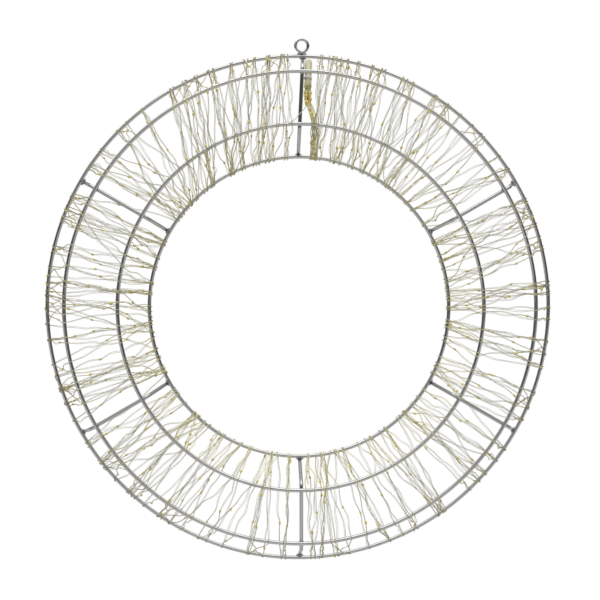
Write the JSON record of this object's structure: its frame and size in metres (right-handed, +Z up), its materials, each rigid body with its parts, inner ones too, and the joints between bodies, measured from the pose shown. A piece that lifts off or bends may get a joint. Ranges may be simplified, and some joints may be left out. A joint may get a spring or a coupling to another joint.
{
  "type": "wreath frame",
  "caption": "Round floral wreath frame of welded wire rings and bent braces, with a hanging eye, wound with a string of tiny amber lights.",
  "frame": {"origin": "middle of the hanging eye, in the plane of the back rings; the wreath is centred 2 mm to the left of it", "axes": "+Z up as it hangs, -Y the front, +X to the right seen from the front"},
  "size_m": [0.5026, 0.057, 0.5175],
  "materials": {
    "frame_wire": "bright zinc-plated drawn wire",
    "weld": "melted and plated over, slightly darker than the wire",
    "strand_wire": "clear enamel over fine silvered copper wire",
    "light_drop": "clear amber resin over a tiny yellow light",
    "clear_sleeve": "soft translucent sleeve",
    "splice_core": "soldered joint in varnished wire ends",
    "tie": "white nylon",
    "strand_knot": "bunched enamelled wire and amber drops"
  },
  "bodies": {
    "root": {"brace_1": "frame_wire", "brace_2": "frame_wire", "brace_3": "frame_wire", "brace_4": "frame_wire", "brace_5": "frame_wire", "brace_6": "frame_wire", "eye_welds": "weld", "hanging_eye": "frame_wire", "inner_back_ring": "frame_wire", "inner_back_welds": "weld", "inner_front_ring": "frame_wire", "inner_front_welds": "weld", "lights_left_01": "light_drop", "lights_left_02": "light_drop", "lights_left_03": "light_drop", "lights_left_04": "light_drop", "lights_left_05": "light_drop", "lights_left_06": "light_drop", "lights_left_07": "light_drop", "lights_left_08": "light_drop", "lights_left_09": "light_drop", "lights_left_10": "light_drop", "lights_right_01": "light_drop", "lights_right_02": "light_drop", "lights_right_03": "light_drop", "lights_right_04": "light_drop", "lights_right_05": "light_drop", "lights_right_06": "light_drop", "lights_right_07": "light_drop", "lights_right_08": "light_drop", "lights_right_09": "light_drop", "lights_right_10": "light_drop", "outer_back_ring": "frame_wire", "outer_back_welds": "weld", "outer_front_ring": "frame_wire", "outer_front_welds": "weld", "sleeve_tie": "tie", "splice_core": "splice_core", "splice_sleeve": "clear_sleeve", "strand_knot": "strand_knot", "strand_left_01": "strand_wire", "strand_left_02": "strand_wire", "strand_left_03": "strand_wire", "strand_left_04": "strand_wire", "strand_left_05": "strand_wire", "strand_left_06": "strand_wire", "strand_left_07": "strand_wire", "strand_left_08": "strand_wire", "strand_left_09": "strand_wire", "strand_left_10": "strand_wire", "strand_right_01": "strand_wire", "strand_right_02": "strand_wire", "strand_right_03": "strand_wire", "strand_right_04": "strand_wire", "strand_right_05": "strand_wire", "strand_right_06": "strand_wire", "strand_right_07": "strand_wire", "strand_right_08": "strand_wire", "strand_right_09": "strand_wire", "strand_right_10": "strand_wire"}
  },
  "joints": []
}
